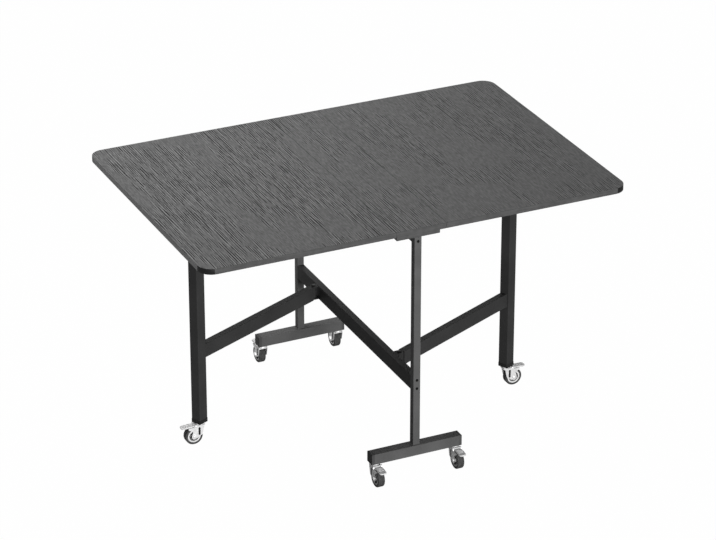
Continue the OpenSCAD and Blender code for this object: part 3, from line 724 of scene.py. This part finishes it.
def tyre(name):
    shape = lathe(tyre_outline(), 72)
    shape.transform(caster_place(name) @ AXLE)
    return make_piece(f"tread_{name}", shape, (TYRE_RUBBER,), f"{name}_wheel",
                      (f"tyre_{name}",))


for name in HEADINGS:
    tyre(name)

# %% [markdown]
# ## Rims
#
# The rim is pale moulded plastic: a broad smooth ring under the tyre, a sunk disc with round
# openings, and a hub. The CAD rim has all of these, so this is a softened copy. The inner edges
# of its lip get a wide chamfer first. The faces of the sunk disc and of the chamfer are found by
# their distance from the axle and get a darker, duller finish, which is painted shade for the
# recess.

# %% Rims
LIP_INNER = 12 * MM
LIP_FACE = 8.5 * MM
LIP_CHAMFER = 2.4 * MM
RIM_EDGE = 0.4 * MM
POCKET_RADII = (6.3 * MM, LIP_INNER + LIP_CHAMFER)
POCKET_DEPTH = 7.6 * MM


def rim(name):
    node = f"rim_{name}"
    shape = cad_copy(node)
    place = caster_place(name) @ AXLE
    to_caster = place.inverted()

    def on_lip(corner):
        spot = to_caster @ corner.co
        return (abs(math.hypot(spot.y, spot.z) - LIP_INNER) < MM / 4
                and abs(abs(spot.x) - LIP_FACE) < MM / 4)

    lip = [edge for edge in shape.edges if all(on_lip(corner) for corner in edge.verts)]
    ease_edges(shape, lip, LIP_CHAMFER, steps=1)
    ease_rim(shape, RIM_EDGE)
    shape.normal_update()
    for face in shape.faces:
        middle = to_caster @ face.calc_center_median()
        radius = math.hypot(middle.y, middle.z)
        # The sunk faces get the darker finish: painted shade for the recess
        sunk = abs(middle.x) < POCKET_DEPTH and POCKET_RADII[0] < radius < POCKET_RADII[1]
        face.material_index = 1 if sunk else 0
    return make_piece(f"soft_rim_{name}", shape, (RIM_PLASTIC, RIM_POCKET_SHADE), f"{name}_wheel",
                      (node,))


for name in HEADINGS:
    rim(name)

# %% [markdown]
# ## Forks
#
# Each fork is pressed from bright zinc-plated sheet. The CAD fork already has its outline,
# slot and ear, so the visual fork is a softened copy. The sheared edges of its two sides have
# lost their plating and are darker than the sheet. A thin black strip lines each slot from
# inside, so the slot shows as a dark line beside the pale rim.

# %% Forks
FORK_EDGE = 0.35 * MM
SLOT_BACK = 6
SLOT_LOW, SLOT_HIGH = 26.4, 51.6
LINER_THICKNESS, LINER_WIDTH = 0.8, 7.2
FORK_INSIDE = 10.3
CROWN_UNDER = 52.6
FACES_ACROSS = 0.6


def fork(name):
    node = f"fork_{name}"
    to_caster = caster_place(name).inverted()
    shape = cad_copy(node)
    ease_rim(shape, FORK_EDGE)
    shape.normal_update()
    for face in shape.faces:
        middle = to_caster @ face.calc_center_median()
        across = abs((to_caster.to_3x3() @ face.normal).x)
        on_side = abs(middle.x) > FORK_INSIDE * MM and middle.z < CROWN_UNDER * MM
        face.material_index = 1 if on_side and across < FACES_ACROSS else 0
    return make_piece(f"soft_{node}", shape, (ZINC, CUT_EDGE), f"{name}_swivel",
                      (node,))


def slot_liners(name):
    middle = FORK_INSIDE + LINER_THICKNESS / 2
    shape = bmesh.new()
    for side in (-1, 1):
        add_shape(shape, block(LINER_THICKNESS, LINER_WIDTH, SLOT_HIGH - SLOT_LOW, 0.2),
                  shift(side * middle, -SLOT_BACK, (SLOT_LOW + SLOT_HIGH) / 2))
    shape.transform(caster_place(name))
    return make_piece(f"slot_liners_{name}", shape, (BLACK_PLASTIC,), f"{name}_swivel")


for name in HEADINGS:
    fork(name)
    slot_liners(name)

# %% [markdown]
# ## Axle nut, axle head and pedal pin
#
# The axle is a bolt: a low domed head on one side of the fork and a hexagon nut with a washer
# on the other. The pedal's pin is peened over at both ends. The middle of the nut, the end
# of the thread and the peened ends are measured from the side of the fork.

# %% Axles and pins
FORK_SIDE = 12.5
AXLE_RADIUS, THREAD_RADIUS = 3, 2.4
THREAD_CHAMFER = 0.5
HEAD_RADIUS = 5
WASHER_RADIUS, WASHER_THICKNESS, WASHER_EASE = 5.4, 0.8, 0.3
NUT_FLATS, NUT_HEIGHT, NUT_MIDDLE = 9.4, 2.8, 2.2
THREAD_END = 3.9
PIN_BACK, PIN_HEIGHT = -15, 54.5
PIN_RADIUS = 2.0
PEENED = ((0, 2.7), (0.4, 2.5), (0.9, 1.3), (0.9, 0))


def hexagon_nut(across_flats, height):
    shape = bmesh.new()
    radius = across_flats / 2 / math.cos(math.pi / 6) * MM
    bmesh.ops.create_cone(shape, cap_ends=True, cap_tris=False, segments=6, radius1=radius,
                          radius2=radius, depth=height * MM)
    top = [face for face in shape.faces if face.normal.z > 0.9]
    ease_edges(shape, [edge for face in top for edge in face.edges], 0.5 * MM)
    shape.transform(Matrix.Rotation(math.pi / 2, 4, "Y"))
    return shape


def axle_outlines():
    """The rod, its domed head, the washer and the end of the thread."""
    rod = mirrored([(FORK_SIDE, AXLE_RADIUS), (FORK_SIDE, 0)])
    ball = [(0, 0), (0, HEAD_RADIUS)] + arc(0, 0, HEAD_RADIUS, 90, 180, 6)
    head = [(along / 2 - FORK_SIDE, radius) for along, radius in ball]
    washer = [(0, 0), (0, WASHER_RADIUS)] + arc(
        WASHER_THICKNESS - WASHER_EASE, WASHER_RADIUS - WASHER_EASE, WASHER_EASE, 90, 0, 2)
    washer += [(WASHER_THICKNESS, 0)]
    thread_start = THREAD_END - THREAD_CHAMFER
    thread = [(thread_start, 0), (thread_start, THREAD_RADIUS),
              (THREAD_END, THREAD_RADIUS - THREAD_CHAMFER), (THREAD_END, 0)]
    outside = [[(FORK_SIDE + along, radius) for along, radius in outline]
               for outline in (washer, thread)]
    return [rod, head] + outside


def pin_outline():
    peened = [(FORK_SIDE + along, radius) for along, radius in PEENED]
    return mirrored([(FORK_SIDE, PIN_RADIUS)] + peened)


def axle_and_pin(name):
    shape = bmesh.new()
    for outline in axle_outlines():
        add_shape(shape, lathe(outline, 28), AXLE)
    nut = hexagon_nut(NUT_FLATS, NUT_HEIGHT)
    add_shape(shape, nut, AXLE @ shift(FORK_SIDE + NUT_MIDDLE, 0, 0))
    add_shape(shape, lathe(pin_outline(), 24), shift(0, PIN_BACK, PIN_HEIGHT))
    shape.transform(caster_place(name))
    return make_piece(f"axle_and_pin_{name}", shape, (ZINC,), f"{name}_swivel",
                      (f"pins_{name}",))


for name in HEADINGS:
    axle_and_pin(name)

# %% [markdown]
# ## Brake pedals
#
# The pedal is a stamped treadle with rounded corners and a rim folded down all round, so it
# looks thicker than its sheet. Raised ribs cross it for grip. A barrel holds it on its pin,
# and a bright tongue under it is pressed on the tyre.

# %% Pedals
PEDAL_HALF = 10.0
PEDAL_ROOT, PEDAL_TIP = -2.75, -41.0
PEDAL_UNDER, PEDAL_THICKNESS = -2.4, 4.2
PEDAL_CORNER, PEDAL_EASE = 7, 1.3
PEDAL_TILT = math.radians(2)
RIB_PLACES = (-12.5, -17.0, -21.5, -26.0)
RIB_HALF, RIB_RADIUS, RIB_HEIGHT = 6.5, 0.9, 1.6
BARREL_HALF, BARREL_RADIUS, BARREL_EASE = 10.2, 3.5, 0.3
TONGUE_SIZE, TONGUE_EASE = (12, 5.4, 4.6), 0.5
TONGUE_PLACE = (0, -28.2, 50.9)


def treadle():
    shape = flat_sheet(-PEDAL_HALF * MM, PEDAL_HALF * MM, PEDAL_TIP * MM, PEDAL_ROOT * MM,
                       PEDAL_UNDER * MM)
    outer = [corner for corner in shape.verts if corner.co.y < PEDAL_TIP / 2 * MM]
    round_corners(shape, outer, PEDAL_CORNER * MM, 8)
    thicken(shape, (0, 0, PEDAL_THICKNESS * MM))
    ease_rim(shape, PEDAL_EASE * MM, 4)
    return shape


def barrel():
    return lathe(mirrored([(BARREL_HALF - BARREL_EASE, BARREL_RADIUS),
                           (BARREL_HALF, BARREL_RADIUS - BARREL_EASE), (BARREL_HALF, 0)]), 32)


def pedal(name):
    shape = treadle()
    for place in RIB_PLACES:
        rib = lathe(mirrored(arc(RIB_HALF, 0, RIB_RADIUS, 90, 0, 3)), 12)
        add_shape(shape, rib, shift(0, place, RIB_HEIGHT))
    shape.transform(Matrix.Rotation(PEDAL_TILT, 4, "X"))
    add_shape(shape, barrel())
    shape.transform(shift(0, PIN_BACK, PIN_HEIGHT))
    tongue = block(*TONGUE_SIZE, TONGUE_EASE)
    paint_all(tongue, 1)
    add_shape(shape, tongue, shift(*TONGUE_PLACE))
    shape.transform(caster_place(name))
    return make_piece(f"treadle_{name}", shape, (PEDAL_STEEL, ZINC), f"{name}_brake",
                      (f"pedal_{name}",))


for name in HEADINGS:
    pedal(name)

# %% [markdown]
# ## Button-head bolts
#
# Black bolts with low domed heads and a hexagon socket hold the beam and the rail between the
# posts. The head is spun with a round hole, and the hole's ring is then pulled out to a
# hexagon by scaling each of its points along its own radius.

# %% Bolts
BOLT_FACE = 380
BOLT_HEIGHTS = (258, 282, 682.5, 697.5)
BUTTON_RADIUS, BUTTON_EDGE, BUTTON_DOME = 3.75, 0.35, 1.85
SOCKET_RADIUS, SOCKET_FLOOR, SOCKET_GROWTH = 1.35, 0.9, 1.1


def button_head():
    dome = arc(BUTTON_EDGE, BUTTON_RADIUS - BUTTON_DOME, BUTTON_DOME, 85, 5, 6)
    socket = [(BUTTON_EDGE + BUTTON_DOME, SOCKET_RADIUS), (SOCKET_FLOOR, SOCKET_RADIUS),
              (SOCKET_FLOOR, 0)]
    edge = [(0, 0), (0, BUTTON_RADIUS), (BUTTON_EDGE, BUTTON_RADIUS)]
    shape = lathe(edge + dome + socket, 36)
    for corner in shape.verts:
        radius = math.hypot(corner.co.y, corner.co.z)
        if abs(radius - SOCKET_RADIUS * MM) < MM / 100:
            angle = math.atan2(corner.co.z, corner.co.y) % (math.tau / 6)
            to_hexagon = math.cos(math.pi / 6) / math.cos(angle - math.pi / 6)
            corner.co.y *= to_hexagon * SOCKET_GROWTH
            corner.co.z *= to_hexagon * SOCKET_GROWTH
    return shape


shape = bmesh.new()
for side in (-1, 1):
    outward = Matrix.Rotation(side * math.pi / 2, 4, "Z")
    for height in BOLT_HEIGHTS:
        add_shape(shape, button_head(), shift(0, side * BOLT_FACE, height) @ outward)
make_piece("button_bolts", shape, (BOLT_BLACK,), "frame", ("frame_bolts",))

# %% [markdown]
# ## Weld beads
#
# The posts are welded to the foot bars, and the arms to the gate posts. A weld laid by hand
# is a row of overlapping drops, like coins pushed over. Each drop is a small flattened ball,
# set every millimetre and a half round the seam, and the powder coat covers it.

# %% Weld beads
DROP_SIZE = 1.15 * MM
DROP_STEP = 1.5 * MM
FLATTENED = Matrix.Diagonal((1, 1, 0.8, 1))


def bead(corners):
    """A row of drops along the closed seam between these corners, in metres."""
    shape = bmesh.new()
    for start, stop in zip(corners, corners[1:] + corners[:1]):
        count = round((stop - start).length / DROP_STEP)
        lean = (stop - start).to_track_quat("Z", "Y").to_matrix().to_4x4() @ FLATTENED
        for n in range(count):
            made = bmesh.ops.create_uvsphere(shape, u_segments=8, v_segments=5,
                                             radius=DROP_SIZE)
            place = Matrix.Translation(start.lerp(stop, (n + 0.5) / count)) @ lean
            bmesh.ops.transform(shape, matrix=place, verts=made["verts"])
    return shape


def post_weld(node, bar):
    low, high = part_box(node)
    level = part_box(bar)[1].z
    corners = [(low.x, low.y), (high.x, low.y), (high.x, high.y), (low.x, high.y)]
    shape = bead([Vector((x, y, level)) for x, y in corners])
    return make_piece(f"weld_{node}", shape, (STAND_COAT_PAINTED_LIGHT,), "frame")


post_weld("post_front", "foot_bar_front")
post_weld("post_back", "foot_bar_back")

GATE_ANGLE = math.radians(25)
GATE_PIN = Vector((21.5, -227.5, 0)) * MM
GATE_REACH, GATE_POST_HALF = 469, 15
ARM_HALF = 10 * MM
ARM_END = (GATE_REACH - GATE_POST_HALF) * MM


def gate_matrix(side):
    half_turn = Matrix.Rotation(0 if side == "right" else math.pi, 4, "Z")
    return half_turn @ Matrix.Translation(GATE_PIN) @ Matrix.Rotation(GATE_ANGLE, 4, "Z")


def arm_weld(side):
    low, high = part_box(f"gate_arm_{side}")
    place = gate_matrix(side)
    corners = [(-ARM_HALF, low.z), (ARM_HALF, low.z), (ARM_HALF, high.z), (-ARM_HALF, high.z)]
    shape = bead([place @ Vector((ARM_END, y, z)) for y, z in corners])
    return make_piece(f"weld_arm_{side}", shape, (GATE_COAT,), f"{side}_gate")


arm_weld("left")
arm_weld("right")

# %% [markdown]
# ## Screws of the leaf hinges
#
# Two small pan-head screws hold each hinge plate to its leaf, seen only from below. The dome is
# spun, and the cross recess is drawn by two thin dark bars let into it, which are painted shade
# for the recess.

# %% Hinge screws
HINGE_STATIONS = (-300, 0, 300)
HINGE_PLATE = 1.5
SCREW_APART, SCREW_INSET = 19, 5
PAN_OUTLINE = ((0, 0), (0, 2.6), (0.35, 2.55), (0.7, 2.2), (0.95, 1.5), (1.05, 0.7), (1.05, 0))
RECESS_BAR, RECESS_PLACE = (0.3, 0.5, 2.3), 0.95


def pan_head():
    shape = lathe(PAN_OUTLINE, 20)
    for turn in (math.pi / 4, -math.pi / 4):
        # The black bars are painted shade where the recess is
        bar = block(*RECESS_BAR)
        paint_all(bar, 1)
        add_shape(shape, bar, Matrix.Rotation(turn, 4, "X") @ shift(RECESS_PLACE, 0, 0))
    return shape


def hinge_screws(side, direction):
    low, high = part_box(f"hinge_flaps_{side}")
    outer = high.x if direction > 0 else low.x
    place_x = outer - direction * SCREW_INSET * MM
    down = Matrix.Rotation(math.pi / 2, 4, "Y")
    shape = bmesh.new()
    for station in HINGE_STATIONS:
        for offset in (-SCREW_APART, SCREW_APART):
            place = Matrix.Translation((place_x, (station + offset) * MM,
                                        high.z - HINGE_PLATE * MM))
            add_shape(shape, pan_head(), place @ down)
    return make_piece(f"hinge_screws_{side}", shape, (ZINC, BOLT_BLACK), f"{side}_leaf")


hinge_screws("left", -1)
hinge_screws("right", 1)

# %% [markdown]
# ## Floor
#
# The table stands on plain white. The floor glows, so to the camera it is as good as white
# and keeps only a trace of shadow. In reflections it glows far less, and as a light it
# doesn't glow at all. It is wide, and the world behind it is white too, so no horizon shows.

# %% Floor
FLOOR_HALF = 14
FLOOR_TONE = 0.3
GLOW_TO_CAMERA, GLOW_IN_REFLECTIONS = 0.992, 0.2


def white_floor():
    paint = Paint("white_floor")
    path = paint.node("ShaderNodeLightPath")
    seen = Number(paint, path.outputs["Is Camera Ray"])
    glossy = Number(paint, path.outputs["Is Glossy Ray"])
    share = seen.math("MAXIMUM", seen * GLOW_TO_CAMERA, glossy * GLOW_IN_REFLECTIONS)
    glow = paint.node("ShaderNodeEmission", {}, {"Color": (1, 1, 1, 1), "Strength": 1.0})
    paint.finish(Base_Color=(FLOOR_TONE, FLOOR_TONE, FLOOR_TONE, 1), Roughness=0.9)
    mix = paint.node("ShaderNodeMixShader", {},
                     {0: share, 1: paint.shader.outputs[0], 2: glow.outputs[0]})
    output = paint.tree.nodes["Material Output"]
    paint.feed(output.inputs["Surface"], mix.outputs[0])
    shape = flat_sheet(-FLOOR_HALF, FLOOR_HALF, -FLOOR_HALF, FLOOR_HALF, 0)
    mesh = bpy.data.meshes.new("floor")
    shape.to_mesh(mesh)
    shape.free()
    mesh.materials.append(paint.material)
    floor = bpy.data.objects.new("floor", mesh)
    bpy.context.scene.collection.objects.link(floor)
    print("the floor is", 2 * FLOOR_HALF, "m wide")


white_floor()

# %% [markdown]
# ## World and lamps
#
# The world is pure white to the camera and in reflections, and much dimmer as a light, so
# that the dark table isn't washed out. Three broad area lights do most of the work. The
# strong one stands in front, a small one hangs above and a weak one stands behind.

# %% World and lamps
AMBIENT = 0.09


def white_room():
    world = bpy.data.worlds.new("white_room")
    bpy.context.scene.world = world
    world.use_nodes = True
    tree = world.node_tree
    sky = tree.nodes["Background"]
    sky.inputs["Color"].default_value = (1, 1, 1, 1)
    path = tree.nodes.new("ShaderNodeLightPath")
    seen = tree.nodes.new("ShaderNodeMath")
    seen.operation = "MAXIMUM"
    level = tree.nodes.new("ShaderNodeMapRange")
    level.inputs["To Min"].default_value = AMBIENT
    tree.links.new(path.outputs["Is Camera Ray"], seen.inputs[0])
    tree.links.new(path.outputs["Is Glossy Ray"], seen.inputs[1])
    tree.links.new(seen.outputs[0], level.inputs["Value"])
    tree.links.new(level.outputs["Result"], sky.inputs["Strength"])


def area_light(name, place, aim, size, watts):
    light = bpy.data.lights.new(name, "AREA")
    light.shape = "DISK"
    light.size = size
    light.energy = watts
    lamp = bpy.data.objects.new(name, light)
    direction = Vector(aim) - Vector(place)
    lamp.matrix_world = (Matrix.Translation(place)
                         @ direction.to_track_quat("-Z", "Y").to_matrix().to_4x4())
    bpy.context.scene.collection.objects.link(lamp)


white_room()
area_light("front_light", (-0.3, -8.9, 1.8), (0, 0, 0.4), 2.0, 750)
area_light("top_light", (-1.1, 1.0, 3.1), (-0.2, 0.1, 0.7), 1.6, 64)
area_light("back_light", (1.5, 4.5, 2.2), (0, 0, 0.4), 3.0, 25)

# %% [markdown]
# ## View settings
#
# The picture is shown in plain Standard colours.

# %% View settings
bpy.context.scene.view_settings.view_transform = "Standard"
